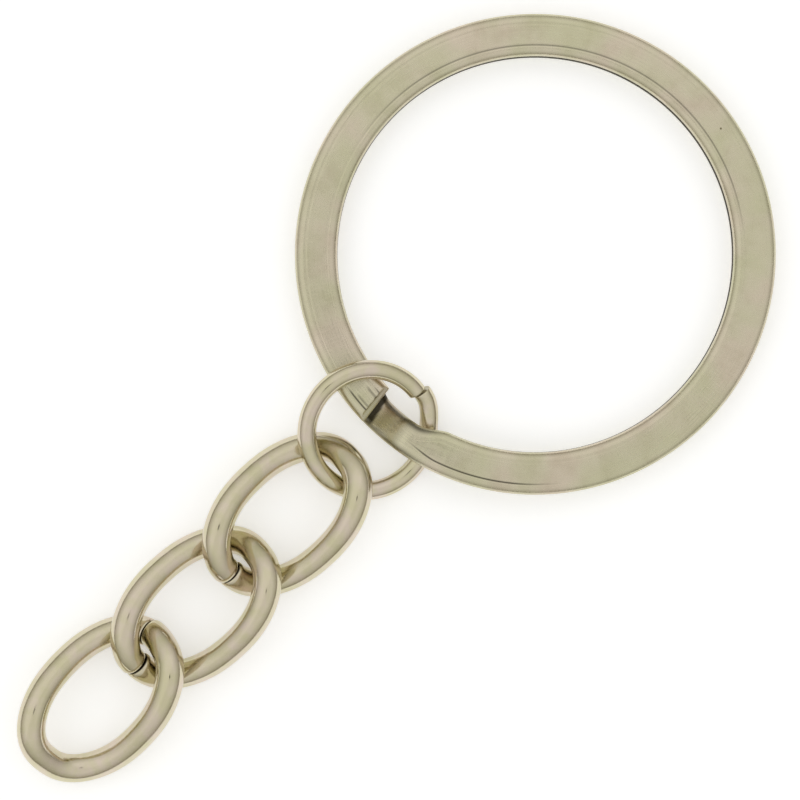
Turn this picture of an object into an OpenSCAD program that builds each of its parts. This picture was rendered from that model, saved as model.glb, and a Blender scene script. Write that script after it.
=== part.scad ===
// Split key ring with a jump ring and a short curb chain of three links.
// The split ring lies flat on z = 0 with its axis along +Z, and the chain runs along -X.

/* [Split ring] */
// Outer diameter of the split ring
ring_od = 30; // [24:1:36]
// Width of the flattened wire, measured along the radius
ring_wire_w = 2.65; // [2.2:0.05:3.2]
// Thickness of one turn of the wire
ring_wire_t = 0.96; // [0.8:0.02:1.16]
// Gap between the two turns where they lie together
turn_gap = 0.08; // [0.04:0.01:0.12]
// Width of the wire's rounded shoulders, on each side of its flat faces
ring_shoulder_w = 0.58; // [0.3:0.02:0.7]
// Direction of the front turn's cut end, seen from the ring's centre
front_end_at = 177.8; // [176:0.2:179]
// How much narrower the wire is in the crossover, where it was drawn down
crossover_neck = 0.55; // [0.2:0.05:0.65]
// Width of the shoulders there, where the wire is rounder
crossover_shoulder_w = 0.8; // [0.6:0.02:0.9]

/* [Jump ring] */
// Outer diameter of the jump ring
jump_od = 9; // [8.6:0.1:11]
// Diameter of its round wire
jump_wire_d = 1.2; // [1:0.05:1.45]
// How far its centre lies outside the split ring's outer edge
jump_overhang = 0.15; // [0:0.05:0.4]
// Sideways place of its centre, along Y
jump_side = -0.2; // [-0.3:0.05:0]
// Direction of its butt seam, seen from its own centre
jump_seam_at = -9.5; // [-14:0.5:-6]
// How far one end is sprung outward at the seam
jump_seam_step = 0.25; // [0:0.05:0.3]

/* [Chain link] */
// Outer length of a link
link_l = 11.96; // [10:0.1:14.4]
// Outer width of a link, before its ends are twisted
link_w = 8.3; // [7.6:0.1:10]
// Diameter of the link's round wire
link_wire_d = 1.8; // [1.5:0.05:2.16]
// Squareness of the oval: 2 is an ellipse, and more is fuller at the shoulders
link_fullness = 2.45; // [2.2:0.05:2.6]
// Sideways place of the end link's centre, along Y
end_link_side = -0.05; // [-0.2:0.05:0.1]
// Sideways place of the other links' centres, along Y
link_side = -0.3; // [-0.4:0.05:-0.2]

/* [Fits] */
// Height left between the jump ring and the top of the split ring
over_gap = 0.16; // [0.1:0.01:0.3]
// Height left between the jump ring and the raised turn above it
under_gap = 0.05; // [0.04:0.01:0.15]
// Height left between two link wires where they cross
link_cross_gap = 0.23; // [0.16:0.01:0.4]
// Height left between the jump ring and the first link where they cross
jump_cross_gap = 0.29; // [0.16:0.01:0.4]
// Slack between the jump ring and the first link, along the chain
jump_slack = 0.23; // [0.15:0.01:0.35]
// Slack between the first and second links
mid_slack = 0.26; // [0.15:0.01:0.35]
// Slack between the second and third links
end_slack = 0.16; // [0.12:0.01:0.3]
// Width of the hairline seam where a bent wire's ends meet
seam_gap = 0.1; // [0.05:0.01:0.14]

/* [Hidden] */

nickel = "#c3bda9";
bright_nickel = "#cfcaba";

// split ring
ring_r_out = ring_od / 2;
ring_r_in = ring_r_out - ring_wire_w;
ring_h = 2 * ring_wire_t + turn_gap;
// each shoulder is a quarter of an ellipse, a little lower than half the wire's thickness
shoulder_h = 0.48 * ring_wire_t;
back_z = ring_wire_t / 2;
front_z = back_z + ring_wire_t + turn_gap;

// jump ring: it leans on the table at its -Y side, and its +Y side clears the split ring's top and
// lets the first link pass beneath
jump_r = (jump_od - jump_wire_d) / 2;
jump_wire_r = jump_wire_d / 2;
jump_x = -(ring_r_out + jump_overhang);
// angle round the jump ring at which it lies over a radius r of the split ring
function jump_over(r) = acos((jump_x * jump_x + jump_r * jump_r - r * r) / (-2 * jump_x * jump_r));
// the first link crosses the jump ring this far in from the ends of both, and this far to each side
cross_in = (jump_wire_d + link_wire_d) / 4 + jump_slack / 2;
cross_side = sqrt(jump_r * jump_r - pow(jump_r - cross_in, 2));
jump_tilt = asin(max(
    (ring_h + over_gap) / (jump_r * (1 + sin(jump_over(ring_r_in)))),
    (link_wire_d + jump_cross_gap) / (jump_r + cross_side)));
jump_z = jump_wire_r + jump_r * sin(jump_tilt);

// crossover: the front turn is sprung up over the jump ring, then drops under its own cut end
edge_turn = jump_over(ring_r_in + ring_shoulder_w / 2);
turn_lift = 2 * jump_wire_r + jump_r * (1 - sin(edge_turn)) * sin(jump_tilt)
          + under_gap - ring_wire_t - turn_gap;
// direction in which the jump ring's low side passes a radius r of the split ring
function under_at(r) = 180 + asin((jump_r * sin(jump_over(r)) * cos(jump_tilt) - jump_side) / r);
drop_from = under_at(ring_r_in + ring_shoulder_w / 2) - asin(jump_wire_r / ring_r_in);
drop_to = front_end_at + 0.6;
back_end_at = under_at(ring_r_out) + asin(1.4 * jump_wire_r / ring_r_out);
lift_from = 245;
lift_full = 200;
neck_from = drop_from + 9;
travel_end = front_end_at - back_end_at + 720;

// chain links
link_wire_r = link_wire_d / 2;
link_a = link_l / 2 - link_wire_r;
link_b = link_w / 2 - link_wire_r;
function oval_y(x) = link_b * pow(1 - pow(x / link_a, link_fullness), 1 / link_fullness);
// the ends are twisted just enough for two wires to pass one above the other, and for the first
// link's wire to pass over the jump ring's low side
cross_x = link_a - link_wire_r - (mid_slack + end_slack) / 4;
jump_rise = cross_side * sin(jump_tilt);
function twist_to(height, x) = asin(height / oval_y(x)) * link_a / x;
link_twist = max(
    twist_to(link_wire_r + link_cross_gap / 2, cross_x),
    twist_to((jump_wire_r + jump_cross_gap + jump_z - jump_rise) / 2, link_a - cross_in));
link_lean = max([for (t = [0 : 5 : 90]) link_point(t, 0)[2] * -1]);
link_z = link_wire_r + link_lean;
link_1_x = jump_x - jump_r - link_a + jump_wire_r + link_wire_r + jump_slack;
link_2_x = link_1_x - 2 * link_a + link_wire_d + mid_slack;
link_3_x = link_2_x - 2 * link_a + link_wire_d + end_slack;
// each link's turn about +Z as it lies, and the direction of its seam
link_turns = [-2.5, -3.5, 0.5];
link_seams = [181, 180, 12];

// 0 to 1 as x runs from a to b, with a soft start and end
function ease(a, b, x) = let (t = min(1, max(0, (x - a) / (b - a)))) t * t * (3 - 2 * t);

// ring wire: travel s is the angle run back from the front end, clockwise seen from above
function first_lap(s) = front_end_at - s + 360;
function wire_z(s) = let (at = first_lap(s))
    at > drop_from ? front_z + turn_lift * ease(lift_from, lift_full, at)
                   : back_z + (front_z - back_z + turn_lift) * ease(drop_to, drop_from, at);
// 1 where the wire passes down through the crossover, and 0 well away from it
function crossing(s) = let (at = first_lap(s))
    ease(neck_from, drop_from, at) * (1 - ease(drop_to + 2, drop_to - 8, at));
function wire_in(s) = ring_r_in + crossover_neck * crossing(s);
function shoulder_w(s) = ring_shoulder_w + (crossover_shoulder_w - ring_shoulder_w) * crossing(s);
// outline of the flattened wire in its radial plane
function wire_section(s) = let (
        w = shoulder_w(s),
        x0 = wire_in(s) + w,
        x1 = ring_r_out - w,
        z0 = wire_z(s) - ring_wire_t / 2 + shoulder_h,
        z1 = wire_z(s) + ring_wire_t / 2 - shoulder_h,
        corners = [[x0, z0, 180], [x1, z0, 270], [x1, z1, 0], [x0, z1, 90]])
    [for (c = corners, k = [0 : 30 : 90])
        [c[0] + w * cos(c[2] + k), c[1] + shoulder_h * sin(c[2] + k)]];

function ring_station(s) = let (at = front_end_at - s)
    [for (p = wire_section(s)) [p[0] * cos(at), p[0] * sin(at), p[1]]];

// stations lie close together round the crossover and further apart elsewhere
fine_from = 330;
fine_to = 372;
ring_stations = concat(
    [for (s = [0 : 4 : fine_from - 2]) s],
    [for (s = [fine_from : 1 : fine_to]) s],
    [for (s = [fine_to + 4 : 4 : travel_end - 2]) s],
    [travel_end]);

// centreline of a twisted link, t from 0 at its +X end
function signed_pow(v, e) = sign(v) * pow(abs(v), e);
function link_point(t, turn) = let (
        x = link_a * signed_pow(cos(t), 2 / link_fullness),
        y = link_b * signed_pow(sin(t), 2 / link_fullness),
        lean = -link_twist * x / link_a)
    [x * cos(turn) - y * cos(lean) * sin(turn),
     x * sin(turn) + y * cos(lean) * cos(turn),
     y * sin(lean)];

// centreline of the tilted jump ring, sprung outward just before its seam
function jump_point(t) = let (
        r = jump_r + jump_seam_step * ease(jump_seam_at - 36, jump_seam_at - 8, t - 360))
    [r * cos(t), r * sin(t) * cos(jump_tilt), r * sin(t) * sin(jump_tilt)];

// direction of a path at t, from points close on both sides of it
function unit(v) = v / norm(v);
function link_heading(t, turn) = unit(link_point(t + 1, turn) - link_point(t - 1, turn));
function jump_heading(t) = [-sin(t), cos(t) * cos(jump_tilt), cos(t) * sin(jump_tilt)];

// a path whose two ends face each other squarely across a seam
function seamed(first, between, last, heading) =
    concat([first + heading * seam_gap / 2], between, [last - heading * seam_gap / 2]);

// a round section of radius r at each point of a path, square to the path, and to the heading at its ends
function tube_station(p, dir, r, sides) = let (
        u = unit(cross([0, 0, 1], dir)),
        v = cross(dir, u))
    [for (k = [0 : sides - 1]) p + r * (cos(360 * k / sides) * u + sin(360 * k / sides) * v)];
function tube_stations(path, r, sides, heading) = let (last = len(path) - 1)
    [for (i = [0 : last])
        tube_station(path[i], i % last == 0 ? heading : unit(path[i + 1] - path[i - 1]), r, sides)];

// a closed skin over a row of stations, with a flat face at each end
module skin(stations) {
    n = len(stations[0]);
    m = len(stations);
    polyhedron(
        points = [for (station = stations) each station],
        faces = concat(
            [[for (i = [0 : n - 1]) i]],
            [for (k = [0 : m - 2], i = [0 : n - 1]) let (j = (i + 1) % n)
                [k * n + i, (k + 1) * n + j, k * n + j]],
            [for (k = [0 : m - 2], i = [0 : n - 1]) let (j = (i + 1) % n)
                [k * n + i, (k + 1) * n + i, (k + 1) * n + j]],
            [[for (i = [n - 1 : -1 : 0]) (m - 1) * n + i]]),
        convexity = 8);
}

module split_ring() {
    color(nickel) skin([for (s = ring_stations) ring_station(s)]);
}

module jump_ring() {
    steps = 88;
    between = [for (i = [1 : steps - 1]) jump_point(jump_seam_at + 360 * i / steps)];
    heading = jump_heading(jump_seam_at);
    path = seamed(jump_point(jump_seam_at), between, jump_point(jump_seam_at + 360), heading);
    color(bright_nickel) translate([jump_x, jump_side, jump_z])
        skin(tube_stations(path, jump_wire_r, 14, heading));
}

module chain_link(number, x, side) {
    seam = link_seams[number - 1];
    turn = link_turns[number - 1];
    steps = 72;
    between = [for (i = [1 : steps - 1]) link_point(seam + 360 * i / steps, turn)];
    heading = link_heading(seam, turn);
    path = seamed(link_point(seam, turn), between, link_point(seam, turn), heading);
    color(bright_nickel) translate([x, side, link_z])
        skin(tube_stations(path, link_wire_r, 14, heading));
}

module chain_link_1() {
    chain_link(1, link_1_x, link_side);
}

module chain_link_2() {
    chain_link(2, link_2_x, link_side);
}

module chain_link_3() {
    chain_link(3, link_3_x, end_link_side);
}

split_ring();
jump_ring();
chain_link_1();
chain_link_2();
chain_link_3();
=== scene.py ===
"""A split key ring with a jump ring and three curb-chain links, lying on a pale table.

The file follows the object as it is put together: the split ring, the jump ring threaded on it,
the chain, and then the table, the light and the camera. Lengths are in metres, on the CAD's frame.
"""

import bmesh
import bpy
import numpy as np
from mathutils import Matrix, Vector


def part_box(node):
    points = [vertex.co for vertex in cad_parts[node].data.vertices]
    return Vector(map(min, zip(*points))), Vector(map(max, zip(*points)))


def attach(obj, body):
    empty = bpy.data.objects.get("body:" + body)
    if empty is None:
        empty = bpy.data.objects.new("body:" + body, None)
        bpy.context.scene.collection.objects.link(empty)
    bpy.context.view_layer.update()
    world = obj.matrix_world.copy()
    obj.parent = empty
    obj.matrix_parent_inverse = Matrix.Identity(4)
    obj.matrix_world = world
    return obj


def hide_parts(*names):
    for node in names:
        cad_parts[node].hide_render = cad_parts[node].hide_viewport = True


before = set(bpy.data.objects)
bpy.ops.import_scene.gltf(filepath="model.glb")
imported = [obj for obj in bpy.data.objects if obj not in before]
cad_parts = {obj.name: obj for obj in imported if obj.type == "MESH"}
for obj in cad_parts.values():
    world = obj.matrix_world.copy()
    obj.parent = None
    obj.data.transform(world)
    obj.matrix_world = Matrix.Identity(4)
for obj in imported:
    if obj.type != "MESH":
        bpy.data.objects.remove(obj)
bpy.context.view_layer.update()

# ---------------------------------------------------------------------------------------------
# Split ring. One length of spring-steel wire, rolled flat with round edges, wound two turns and
# bent down at the crossover so that the turns lie one on the other, then nickel plated in a
# barrel. Its front end is cut off with a shear and lies over the crossover.
# ---------------------------------------------------------------------------------------------
MM = 0.001
ring_low, ring_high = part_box("split_ring")
RING_R_OUT = (ring_high[1] - ring_low[1]) / 2
WIRE_W = 2.65 * MM
WIRE_T = 0.96 * MM
TURN_GAP = 0.08 * MM
# the rounded edges, and how much wider and nearer to a round wire they are in the crossover
SHOULDER_W = 0.58 * MM
ROUND_SHOULDER_W = 0.8 * MM
SHOULDER_H = 0.48 * WIRE_T
NECK = 0.55 * MM
RING_R_IN = RING_R_OUT - WIRE_W
BACK_Z = WIRE_T / 2
FRONT_Z = BACK_Z + WIRE_T + TURN_GAP
# directions from the ring's centre, in degrees
FRONT_END = 177.8
BACK_END = 197.9
DROP_FROM = 189.77
DROP_TO = 178.4
LIFT_FROM = 245
LIFT_FULL = 200
TURN_LIFT = ring_high[2] - FRONT_Z - WIRE_T / 2
TRAVEL = FRONT_END - BACK_END + 720
# the marks that the tools left: creases from the rolls, grooves from the pliers, a dubbed top edge
# and a skewed face from the shear, and a broken edge from the barrel
CREASE_W = 0.16 * MM
CREASE = 0.018 * MM
DEEP_CREASE = 0.1 * MM
GROOVE = 0.05 * MM
DUBBED_EDGE = 0.36 * MM
SKEW = 0.17
BROKEN_EDGE = 0.05 * MM


def ease(a, b, x):
    """0 to 1 as x runs from a to b, with a soft start and end."""
    t = np.clip((x - a) / (b - a), 0, 1)
    return t * t * (3 - 2 * t)


def waviness(x, size, seed):
    """Slow unevenness of a hand-worn surface: three sine waves of no common length."""
    rng = np.random.default_rng(seed)
    phase = rng.uniform(0, 2 * np.pi, 3)
    return size * (np.sin(x / 7 + phase[0]) + np.sin(x / 3.1 + phase[1]) + np.sin(x / 1.7 + phase[2])) / 3


def row_angle(s):
    """Direction from the ring's centre after s degrees of travel back from the front end, counted on
    from a full turn, so that it falls steadily through the crossover."""
    return FRONT_END - s + 360


def wire_height(s):
    """Height of the wire's middle at s."""
    at = row_angle(s)
    on_top = FRONT_Z + TURN_LIFT * ease(LIFT_FROM, LIFT_FULL, at)
    dropping = BACK_Z + (FRONT_Z - BACK_Z + TURN_LIFT) * ease(DROP_TO, DROP_FROM, at)
    return np.where(at > DROP_FROM, on_top, dropping)


def crossing(s):
    """1 where the wire passes down through the crossover and 0 well away from it."""
    at = row_angle(s)
    return ease(DROP_FROM + 9, DROP_FROM, at) * (1 - ease(DROP_TO + 2, DROP_TO - 8, at))


def outer_crease(s):
    """Depth of the crease along the outer edge of the face that the wire shows: the rolls cut it
    deepest near the front end, and again where the wire rises to the crossover."""
    at = row_angle(s)
    rising = ease(188, 198, at) * ease(234, 212, at)
    return CREASE + (DEEP_CREASE - CREASE) * np.maximum(ease(9, 5, s), rising)


def inner_crease(s):
    """The same along the inner edge, deep at the front end and less so a third of the way round."""
    at = row_angle(s)
    far_side = 0.5 * ease(312, 340, at) * ease(475, 435, at)
    return CREASE + (DEEP_CREASE - CREASE) * (0.6 * ease(5, 2, s) + far_side)


def flat_wire_outline(s):
    """The rolled wire's section at s, as (radius, height) points from the middle of its top face,
    and how far the tarnish colour darkens each point: painted shade in the creases and grooves, and
    painted dark reflection on the flanks in the crossover. It has flat faces and rounded shoulders,
    with the fine crease that the rolls leave where a flat face meets a shoulder. The wire is drawn
    rounder in the crossover, and the pliers' jaws have left grooves along the front end."""
    corner = np.linspace(0, 90, 12)
    shoulder = SHOULDER_W + (ROUND_SHOULDER_W - SHOULDER_W) * crossing(s)
    r0 = RING_R_IN + NECK * crossing(s) + shoulder
    r1 = RING_R_OUT - shoulder
    z0 = wire_height(s) - WIRE_T / 2 + SHOULDER_H
    z1 = wire_height(s) + WIRE_T / 2 - SHOULDER_H
    edge = CREASE_W / (r1 - r0)
    flat = np.concatenate([
        [edge / 2, edge],
        np.linspace(edge + 0.04, 0.96 - edge, 22),
        [1 - edge, 1 - edge / 2],
    ])
    outer_dip = np.where(flat < 0.75 * edge, outer_crease(s), 0)
    inner_dip = np.where(flat > 1 - 0.75 * edge, inner_crease(s), 0)
    grooves = GROOVE * ease(7, 4, s) * np.clip(waviness(flat * 40, 1.6, 5), 0, 1)
    dips = outer_dip + inner_dip + grooves
    # painted shade: the creases and grooves take the tarnish colour in step with their depth, as the shade
    # that falls in them
    painted_shade_in_dips = np.clip(1.7 * dips / DEEP_CREASE - 0.4, 0, 1)
    # painted dark reflection: the flanks of the shoulders in the crossover take the tarnish colour, in
    # place of the dark surroundings that they mirror
    outer_flank_painted_reflection = 0.5 * crossing(s) * np.exp(-((corner - 38) / 15) ** 2)
    inner_flank_painted_reflection = 0.75 * crossing(s) * np.exp(-((corner - 48) / 18) ** 2)
    no_painted_shade = np.zeros(len(corner))
    rows = (
        (r0, z0, 180, no_painted_shade, z0 - SHOULDER_H + 0 * flat, 0 * flat),
        (r1, z0, 270, no_painted_shade, None, None),
        (r1, z1, 0, outer_flank_painted_reflection, z1 + SHOULDER_H - dips, painted_shade_in_dips),
        (r0, z1, 90, inner_flank_painted_reflection, None, None),
    )
    points = []
    marks = []
    for r, z, turn, flank, face_z, face_marks in rows:
        angle = np.radians(turn + corner)
        points += list(zip(r + shoulder * np.cos(angle), z + SHOULDER_H * np.sin(angle)))
        marks += list(flank)
        if face_z is not None:
            along_face = flat if turn == 180 else 1 - flat
            points += list(zip(r0 + (r1 - r0) * along_face, face_z))
            marks += list(face_marks)
    # listed from the middle of the top face, so that its halves mirror each other
    start = len(points) - len(corner) - len(flat) // 2
    return np.roll(points, -start, axis=0), np.roll(marks, -start)


def skin(name, stations, run, tarnish_and_shade):
    """A closed mesh over a row of outlines. For each point, run holds its place in the wire itself,
    in mm, which is along it, and across and up in its section, for patterns that were drawn or
    rolled along the wire. The last argument holds how far the dark tarnish colour darkens each point, from
    0 to 1, as painted shade and painted dark reflection, and at seams as oxide with painted shade."""
    count, around = len(stations), len(stations[0])
    bm = bmesh.new()
    place = bm.verts.layers.float_vector.new("run")
    tarnish_and_shade_amount = bm.verts.layers.float.new("tarnish_and_shade")
    rows = []
    for outline, notes, marks in zip(stations, run, tarnish_and_shade):
        row = []
        for point, note, mark in zip(outline, notes, marks):
            vert = bm.verts.new(point)
            vert[place] = note
            vert[tarnish_and_shade_amount] = mark
            row.append(vert)
        rows.append(row)
    for k in range(count - 1):
        for i in range(around):
            j = (i + 1) % around
            bm.faces.new((rows[k][i], rows[k][j], rows[k + 1][j], rows[k + 1][i]))
    for face in bm.faces:
        face.smooth = True
    # the cut ends are closed in strips from side to side
    for row in (rows[0], rows[-1]):
        for i in range(around // 2 - 1):
            bm.faces.new((row[i], row[i + 1], row[around - 2 - i], row[around - 1 - i]))
    bmesh.ops.recalc_face_normals(bm, faces=bm.faces)
    mesh = bpy.data.meshes.new(name)
    bm.to_mesh(mesh)
    bm.free()
    piece = bpy.data.objects.new(name, mesh)
    bpy.context.collection.objects.link(piece)
    return piece


def end_inset(k, count, depth):
    """How far the outline is drawn in at the wire's cut ends, for a broken edge."""
    from_end = min(k, count - 1 - k)
    return depth * (1, 0.45, 0.12)[from_end] if from_end < 3 else 0


# stations lie close together at the cut ends and through the crossover, and further apart
# elsewhere
travel = np.concatenate([
    [0, 0.12, 0.3],
    np.arange(1, 30, 0.5),
    np.arange(30, 330, 1.5),
    np.arange(330, 374, 0.5),
    np.arange(374, TRAVEL - 1, 1.5),
    [TRAVEL - 0.3, TRAVEL - 0.12, TRAVEL],
])
stations = []
run = []
tarnish_and_shade = []
for k, s in enumerate(travel):
    outline, marks = flat_wire_outline(s)
    middle = outline.mean(axis=0)
    offset = outline - middle
    shrink = end_inset(k, len(travel), BROKEN_EDGE)
    outline = middle + offset * (1 - shrink / np.abs(offset).max(axis=0))
    # the shear leaves the front end out of square, further on at its outer edge
    dubbed = DUBBED_EDGE * ease(0.12, 0.5, offset[:, 1] / WIRE_T)
    lean = (1 - ease(0, 3, s)) * (dubbed - SKEW * offset[:, 0])
    turn = np.radians(FRONT_END - s) - lean / RING_R_OUT
    x = outline[:, 0] * np.cos(turn)
    y = outline[:, 0] * np.sin(turn)
    stations.append(np.column_stack([x, y, outline[:, 1]]))
    along = np.radians(s) * RING_R_OUT / MM
    run.append(np.column_stack([np.full(len(outline), along), offset / MM]))
    # painted shadow: the tarnish colour darkens the wedge-shaped pocket where the wire runs in under its
    # own front end, in the shade that the front end casts
    outward = 0.5 + offset[:, 0] / WIRE_W
    past_end = row_angle(s) - FRONT_END
    painted_pocket_shadow = 0.95 * ease(0.9 + 2.6 * outward, 0.6 + 1.9 * outward, past_end)
    painted_pocket_shadow = painted_pocket_shadow * (offset[:, 1] > 0) * ease(1, 0.72, outward)
    tarnish_and_shade.append(np.maximum(marks, painted_pocket_shadow))
split_ring = skin("split_ring_wire", stations, run, tarnish_and_shade)


def colour(hex_code):
    """An sRGB hex colour as linear RGBA."""
    srgb = np.array([int(hex_code[i:i + 2], 16) for i in (1, 3, 5)]) / 255
    linear = np.where(srgb <= 0.04045, srgb / 12.92, ((srgb + 0.055) / 1.055) ** 2.4)
    return (*linear.tolist(), 1)


def add(tree, kind, settings=None, stops=(), **inputs):
    """Adds a node with its settings, its colour stops if it has any, and a value or a link for each
    named input. i0, i1 and so on name an input by its number."""
    node = tree.nodes.new(kind)
    for key, value in (settings or {}).items():
        setattr(node, key, value)
    # every stop is there before any is placed, because a new one is filed by its position
    for _ in stops[2:]:
        node.color_ramp.elements.new(0.5)
    for i, (position, hex_code) in enumerate(stops):
        node.color_ramp.elements[i].position = position
        node.color_ramp.elements[i].color = colour(hex_code)
    for key, value in inputs.items():
        numbered = key[0] == "i" and key[1:].isdigit()
        socket = node.inputs[int(key[1:]) if numbered else key.replace("_", " ")]
        if isinstance(value, bpy.types.NodeSocket):
            tree.links.new(value, socket)
        else:
            socket.default_value = value
    return node


# Barrel-plated nickel on rolled steel wire: a warm grey metal with a satin face, because the
# rolls leave it dull. It has cloudy yellow, rosy and greenish stains, fine lines along the wire,
# short random scratches from the barrel, and a few dark pin-point pits. The lines and scratches
# are drawn a few times as coarse as the real ones, which are too fine to show.
SATIN_NICKEL = "#d2cbb2"
SATIN_ROSY = "#d6cab6"
SATIN_GREEN = "#cdc9ab"
CLOUDY = "#eeede8"
THIN_CLOUD = "#fafaf8"
CLEAR = "#ffffff"
PIT = "#6e6448"
# the dark colour that stands in for painted shade in the split ring's creases and under its front end, for
# painted dark reflection on its flanks in the crossover, and for oxide with painted shade at the wires'
# seams
TARNISH_AND_SHADE = "#2a251b"
STAIN_SIZE_MM = 1.6
ROLL_LINE_MM = 0.12
SCRATCH_MM = 0.5
PIT_SPACING_MM = 1.1
PIT_PATCHES_PER_MM = 0.37


def satin_nickel():
    material = bpy.data.materials.new("nickel-plated rolled steel")
    material.use_nodes = True
    tree = material.node_tree
    metal = tree.nodes["Principled BSDF"]
    metal.inputs["Metallic"].default_value = 1
    place = add(tree, "ShaderNodeAttribute", {"attribute_name": "run"}).outputs["Vector"]
    tint = add(tree, "ShaderNodeTexNoise", Vector=place, Scale=0.45 / STAIN_SIZE_MM, Detail=2)
    warm = add(tree, "ShaderNodeValToRGB", Fac=tint.outputs["Fac"],
               stops=[(0.36, SATIN_GREEN), (0.5, SATIN_NICKEL), (0.64, SATIN_ROSY)])
    stains = add(tree, "ShaderNodeTexNoise", Vector=place, Scale=1 / STAIN_SIZE_MM, Detail=4,
                 Roughness=0.6)
    cloud = add(tree, "ShaderNodeValToRGB", Fac=stains.outputs["Fac"],
                stops=[(0.3, CLOUDY), (0.5, THIN_CLOUD), (0.7, CLEAR)])
    clouded = add(tree, "ShaderNodeMix", {"data_type": "RGBA", "blend_type": "MULTIPLY"}, i0=0.8,
                  i6=warm.outputs["Color"], i7=cloud.outputs["Color"])

    # pits come in patches
    pits = add(tree, "ShaderNodeTexVoronoi", Vector=place, Scale=1 / PIT_SPACING_MM)
    pit = add(tree, "ShaderNodeMapRange", Value=pits.outputs["Distance"], i1=0.05, i2=0.09, i3=1, i4=0)
    patches = add(tree, "ShaderNodeTexNoise", Vector=place, Scale=PIT_PATCHES_PER_MM)
    chosen = add(tree, "ShaderNodeMath", {"operation": "GREATER_THAN"}, i0=patches.outputs["Fac"], i1=0.64)
    pitted = add(tree, "ShaderNodeMath", {"operation": "MULTIPLY"}, i0=pit.outputs["Result"],
                 i1=chosen.outputs["Value"])
    base = add(tree, "ShaderNodeMix", {"data_type": "RGBA"}, i0=pitted.outputs["Value"],
               i6=clouded.outputs[2], i7=colour(PIT))
    # the mesh's darkening attribute mixes in that dark colour: painted shade and painted dark reflection,
    # and at the seams oxide with painted shade
    tarnish_and_shade_amount = add(tree, "ShaderNodeAttribute", {"attribute_name": "tarnish_and_shade"}).outputs["Fac"]
    tarnished_and_shaded = add(tree, "ShaderNodeMix", {"data_type": "RGBA"}, i0=tarnish_and_shade_amount, i6=base.outputs[2],
                i7=colour(TARNISH_AND_SHADE))
    tree.links.new(tarnished_and_shaded.outputs[2], metal.inputs["Base Color"])

    # rolling lines run with the wire, so the pattern is drawn out along it
    lines_at = add(tree, "ShaderNodeMapping", Vector=place, Scale=(0.06, 1, 1))
    lines = add(tree, "ShaderNodeTexNoise", Vector=lines_at.outputs["Vector"], Scale=1 / ROLL_LINE_MM,
                Detail=3)
    scratch_at = add(tree, "ShaderNodeMapping", Vector=place, Scale=(1, 0.12, 0.3), Rotation=(0, 0, 0.6))
    scratches = add(tree, "ShaderNodeTexNoise", Vector=scratch_at.outputs["Vector"],
                    Scale=3 / SCRATCH_MM, Detail=2)
    scored = add(tree, "ShaderNodeMix", {"data_type": "FLOAT"}, i0=0.35, i2=lines.outputs["Fac"],
                 i3=scratches.outputs["Fac"])
    rough = add(tree, "ShaderNodeMapRange", Value=scored.outputs[0], i1=0.3, i2=0.7, i3=0.2, i4=0.36)
    tree.links.new(rough.outputs["Result"], metal.inputs["Roughness"])
    relief = add(tree, "ShaderNodeMath", {"operation": "SUBTRACT"}, i0=scored.outputs[0],
                 i1=pitted.outputs["Value"])
    bump = add(tree, "ShaderNodeBump", Height=relief.outputs["Value"], Strength=0.07,
               Distance=0.02 * MM)
    tree.links.new(bump.outputs["Normal"], metal.inputs["Normal"])
    return material


split_ring.data.materials.append(satin_nickel())
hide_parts("split_ring")
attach(split_ring, "split_ring")

# ---------------------------------------------------------------------------------------------
# Jump ring. Round steel wire coiled on a mandrel and sawn into single open rings, threaded on
# and pressed shut. It leans on the table at one side and lies over the split ring at the other.
# ---------------------------------------------------------------------------------------------
JUMP_WIRE_R = 0.6 * MM
JUMP_R = 3.9 * MM
JUMP_TILT = np.radians(19.9224)
JUMP_OVERHANG = 0.15 * MM
JUMP_SIDE = -0.2 * MM
JUMP_Z = JUMP_WIRE_R + JUMP_R * np.sin(JUMP_TILT)
JUMP_CENTRE = np.array([-RING_R_OUT - JUMP_OVERHANG, JUMP_SIDE, JUMP_Z])
JUMP_SEAM = -9.5
JUMP_SEAM_STEP = 0.25 * MM
JUMP_BROKEN_EDGE = 0.05 * MM
SEAM_GAP = 0.1 * MM
WEAR = 0.006 * MM


def jump_path(t):
    """Centreline of the jump ring, sprung outward just before its seam."""
    r = JUMP_R + JUMP_SEAM_STEP * ease(JUMP_SEAM - 36, JUMP_SEAM - 8, t - 360)
    a = np.radians(t)
    y = r * np.sin(a)
    return JUMP_CENTRE + np.array([r * np.cos(a), y * np.cos(JUMP_TILT), y * np.sin(JUMP_TILT)])


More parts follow.
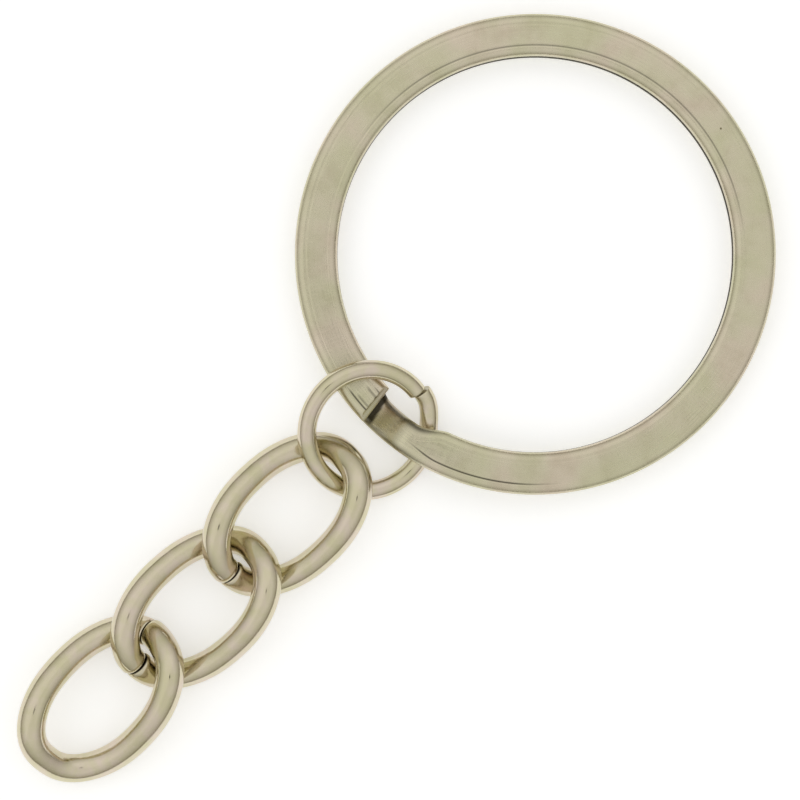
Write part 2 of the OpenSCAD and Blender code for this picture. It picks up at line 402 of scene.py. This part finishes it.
def round_wire(name, path, radius, start, span, steps, sides, broken_edge, end_tarnish_and_shade, seed):
    """Round wire along path(t), with a seam where it starts and ends and its cut edges broken."""
    angles = start + span * np.linspace(0, 1, steps + 1)
    # two close stations at each end carry the rounding of the cut edge
    near = span * broken_edge / (2 * np.pi * JUMP_R)
    angles = np.concatenate([
        [start, start + 0.35 * near, start + near],
        angles[1:-1],
        [start + span - near, start + span - 0.35 * near, start + span],
    ])
    centres = np.array([path(t) for t in angles])
    steps_along = np.linalg.norm(np.diff(centres, axis=0), axis=1)
    along = np.concatenate([[0], np.cumsum(steps_along)]) / MM
    phi = np.linspace(0, 2 * np.pi, sides, endpoint=False)
    stations = []
    run = []
    tarnish_and_shade = []
    for k, centre in enumerate(centres):
        ahead = path(angles[k] + 0.05) - path(angles[k] - 0.05)
        ahead /= np.linalg.norm(ahead)
        side = np.cross([0, 0, 1], ahead)
        side /= np.linalg.norm(side)
        up = np.cross(ahead, side)
        wear = waviness(along[k] + phi * 0.6, WEAR, seed) - WEAR
        r = radius - end_inset(k, len(centres), broken_edge) + wear
        across = np.cos(phi) * r
        rise = np.sin(phi) * r
        stations.append(centre + across[:, None] * side + rise[:, None] * up)
        run.append(np.column_stack([np.full(sides, along[k]), across / MM, rise / MM]))
        # the sawn ends were tarnished before they were pressed together, and their darker colour is also
        # painted shade in the seam's gap
        at_end = k in (0, len(centres) - 1)
        tarnish_and_shade.append(np.full(sides, end_tarnish_and_shade if at_end else 0))
    return skin(name, stations, run, tarnish_and_shade)


jump_half_seam = np.degrees(np.arcsin(SEAM_GAP / 2 / JUMP_R))
jump_ring = round_wire(
    "jump_ring_wire", jump_path, JUMP_WIRE_R, start=JUMP_SEAM + jump_half_seam,
    span=360 - 2 * jump_half_seam, steps=240, sides=40, broken_edge=JUMP_BROKEN_EDGE,
    end_tarnish_and_shade=0.3, seed=11)

# Drawn steel wire, nickel plated and tumbled bright: a clear warm mirror with faint drawing lines
# along the wire, soft handling smears, and small dents where it has knocked about. The lines are
# drawn a few times as coarse as the real ones, which are too fine to show.
BRIGHT_NICKEL = "#d3cab0"
BRIGHT_ROSY = "#d8cbba"
BRIGHT_GREEN = "#cdc7a6"
DRAW_LINE_MM = 0.09
SMEAR_MM = 1.3
DENT_MM = 0.5


def bright_nickel(name, number):
    """Each wire takes its own stretch of the patterns, by its number."""
    material = bpy.data.materials.new(name)
    material.use_nodes = True
    tree = material.node_tree
    metal = tree.nodes["Principled BSDF"]
    metal.inputs["Metallic"].default_value = 1
    place = add(tree, "ShaderNodeAttribute", {"attribute_name": "run"}).outputs["Vector"]
    moved = add(tree, "ShaderNodeMapping", Vector=place, Location=(number * 7.3, 0, 0)).outputs["Vector"]
    smears = add(tree, "ShaderNodeTexNoise", Vector=moved, Scale=1 / SMEAR_MM, Detail=3, Roughness=0.55)
    base = add(tree, "ShaderNodeValToRGB", Fac=smears.outputs["Fac"],
               stops=[(0.34, BRIGHT_GREEN), (0.5, BRIGHT_NICKEL), (0.66, BRIGHT_ROSY)])
    # the mesh's darkening attribute mixes in the dark colour at the seams: oxide on the cut faces with
    # painted shade in the gap
    tarnish_and_shade_amount = add(tree, "ShaderNodeAttribute", {"attribute_name": "tarnish_and_shade"}).outputs["Fac"]
    tarnished_and_shaded = add(tree, "ShaderNodeMix", {"data_type": "RGBA"}, i0=tarnish_and_shade_amount, i6=base.outputs["Color"],
                i7=colour(TARNISH_AND_SHADE))
    tree.links.new(tarnished_and_shaded.outputs[2], metal.inputs["Base Color"])
    rough = add(tree, "ShaderNodeMapRange", Value=smears.outputs["Fac"], i1=0.3, i2=0.7, i3=0.1, i4=0.2)
    tree.links.new(rough.outputs["Result"], metal.inputs["Roughness"])

    lines_at = add(tree, "ShaderNodeMapping", Vector=moved, Scale=(0.05, 1, 1))
    lines = add(tree, "ShaderNodeTexNoise", Vector=lines_at.outputs["Vector"], Scale=1 / DRAW_LINE_MM,
                Detail=2)
    dents = add(tree, "ShaderNodeTexNoise", Vector=moved, Scale=1 / DENT_MM, Detail=1)
    relief = add(tree, "ShaderNodeMix", {"data_type": "FLOAT"}, i0=0.75, i2=lines.outputs["Fac"],
                 i3=dents.outputs["Fac"])
    bump = add(tree, "ShaderNodeBump", Height=relief.outputs[0], Strength=0.15, Distance=0.03 * MM)
    tree.links.new(bump.outputs["Normal"], metal.inputs["Normal"])
    return material


jump_ring.data.materials.append(bright_nickel("nickel-plated drawn steel, thin wire", 1))
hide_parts("jump_ring")
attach(jump_ring, "jump_ring")

# ---------------------------------------------------------------------------------------------
# Curb chain. Each link is a length of round steel wire bent to an oval round the one before it and
# butted at a seam. The whole chain is then twisted and pressed, so that the links lie flat.
# ---------------------------------------------------------------------------------------------
LINK_WIRE_R = 0.9 * MM
LINK_A = 5.08 * MM
LINK_B = 3.25 * MM
FULLNESS = 2.45
LINK_TWIST = np.radians(33.0335)
# how far each link is turned as it lies, where its seam is, and half that seam, in degrees; the
# wire runs further for each degree at an oval's ends, so the seam takes fewer of them there
LINK_TURNS = (-2.5, -3.5, 0.5)
LINK_SEAMS = (181, 180, 12)
LINK_HALF_SEAM = np.degrees(np.arcsin(SEAM_GAP / 2 / LINK_A)) * 0.6
LINK_SEAM_STEP = 0.08 * MM
LINK_BROKEN_EDGE = 0.1 * MM


def link_path(number):
    """Centreline of a numbered link, an oval twisted along its length."""
    low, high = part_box(f"chain_link_{number}")
    centre = (np.array(low) + np.array(high)) / 2
    turn = np.radians(LINK_TURNS[number - 1])
    seam = LINK_SEAMS[number - 1]

    def path(t):
        a = np.radians(t)
        # one end stands a little outside the other where they meet
        step = LINK_SEAM_STEP * ease(seam - 24, seam - 6, t - 360)
        x = (LINK_A + step) * np.sign(np.cos(a)) * abs(np.cos(a)) ** (2 / FULLNESS)
        y = LINK_B * np.sign(np.sin(a)) * abs(np.sin(a)) ** (2 / FULLNESS)
        lean = -LINK_TWIST * x / LINK_A
        flat_y = y * np.cos(lean)
        east = x * np.cos(turn) - flat_y * np.sin(turn)
        north = x * np.sin(turn) + flat_y * np.cos(turn)
        return centre + np.array([east, north, y * np.sin(lean)])
    return path


for number in (1, 2, 3):
    link = round_wire(
        f"chain_link_{number}_wire", link_path(number), LINK_WIRE_R,
        start=LINK_SEAMS[number - 1] + LINK_HALF_SEAM, span=360 - 2 * LINK_HALF_SEAM,
        steps=200, sides=48, broken_edge=LINK_BROKEN_EDGE, end_tarnish_and_shade=0.8, seed=20 + number)
    link.data.materials.append(bright_nickel(f"nickel-plated drawn steel, link {number}", 1 + number))
    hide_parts(f"chain_link_{number}")
    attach(link, f"chain_link_{number}")

# ---------------------------------------------------------------------------------------------
# Table, light and camera. An opal white table lit from below, under a white light tent that is
# dimmer low down, and a small dark card overhead, which polished wire mirrors as dark glints.
# ---------------------------------------------------------------------------------------------
TABLE_WHITE = "#f9fafb"
LAMP_WHITE = "#ffffff"
TABLE_GLOW = 0.35
TABLE_REACH = 1.5
corners = [(-TABLE_REACH, -TABLE_REACH, 0), (TABLE_REACH, -TABLE_REACH, 0),
           (TABLE_REACH, TABLE_REACH, 0), (-TABLE_REACH, TABLE_REACH, 0)]
mesh = bpy.data.meshes.new("table")
mesh.from_pydata(corners, [], [(0, 1, 2, 3)])
table = bpy.data.objects.new("table", mesh)
table.location.z = -0.01 * MM
bpy.context.collection.objects.link(table)
material = bpy.data.materials.new("opal white acrylic, lit from below")
material.use_nodes = True
acrylic = material.node_tree.nodes["Principled BSDF"]
acrylic.inputs["Base Color"].default_value = colour(TABLE_WHITE)
acrylic.inputs["Roughness"].default_value = 0.9
acrylic.inputs["Emission Color"].default_value = colour(LAMP_WHITE)
acrylic.inputs["Emission Strength"].default_value = TABLE_GLOW
table.data.materials.append(material)

CARD_BLACK = "#1c1a18"
CARD_RADIUS = 14 * MM
CARD_HEIGHT = 215 * MM
corner = np.radians(np.arange(0, 360, 30))
rim = [(CARD_RADIUS * np.cos(a), CARD_RADIUS * np.sin(a), 0) for a in corner]
mesh = bpy.data.meshes.new("dark_card")
mesh.from_pydata(rim, [], [tuple(range(len(rim)))])
card = bpy.data.objects.new("dark_card", mesh)
card.location = (-12.4 * MM, -0.3 * MM, CARD_HEIGHT)
card.visible_camera = False
card.visible_shadow = False
card.visible_diffuse = False
bpy.context.collection.objects.link(card)
material = bpy.data.materials.new("black card")
material.use_nodes = True
board = material.node_tree.nodes["Principled BSDF"]
board.inputs["Base Color"].default_value = colour(CARD_BLACK)
board.inputs["Roughness"].default_value = 0.8
card.data.materials.append(material)

# the tent's cloth, from the table's level up to straight overhead
TENT_STOPS = [(0, "#7c776b"), (0.1, "#a9a69d"), (0.3, "#c9c7c1"), (0.55, "#dfdedb"), (0.78, "#f0efed"),
              (1, "#eeedea")]
world = bpy.data.worlds.new("light tent")
world.use_nodes = True
bpy.context.scene.world = world
tree = world.node_tree
direction = add(tree, "ShaderNodeTexCoord").outputs["Generated"]
toward = add(tree, "ShaderNodeSeparateXYZ", Vector=direction)
tent = add(tree, "ShaderNodeValToRGB", Fac=toward.outputs["Z"], stops=TENT_STOPS)
# one side of the tent, along +Y, is nearer the lamps and brighter
level = add(tree, "ShaderNodeMapRange", Value=toward.outputs["Y"], i1=-0.12, i2=0.12, i3=0.94, i4=1.05)
tent_light = add(tree, "ShaderNodeMix", {"data_type": "RGBA", "blend_type": "MULTIPLY"}, i0=1,
                 i6=tent.outputs["Color"], i7=level.outputs["Result"])
background = tree.nodes["Background"]
tree.links.new(tent_light.outputs[2], background.inputs["Color"])
background.inputs["Strength"].default_value = 1

# The camera looks straight down, turned so that the chain runs down to the left. Its field is as
# wide as this at the height of the wires' tops.
CAMERA_HEIGHT = 220 * MM
CAMERA_TURN = np.radians(-45.7)
FIELD = 49.69 * MM
FIELD_HEIGHT = 2.4 * MM
lens = bpy.data.cameras.new("camera")
lens.sensor_width = 36
lens.lens = lens.sensor_width * (CAMERA_HEIGHT - FIELD_HEIGHT) / FIELD
lens.clip_start = 0.01
camera = bpy.data.objects.new("camera", lens)
camera.location = (-12.4 * MM, -0.31 * MM, CAMERA_HEIGHT)
camera.rotation_euler = (0, 0, CAMERA_TURN)
bpy.context.collection.objects.link(camera)
bpy.context.scene.camera = camera
bpy.context.scene.view_settings.view_transform = "Standard"
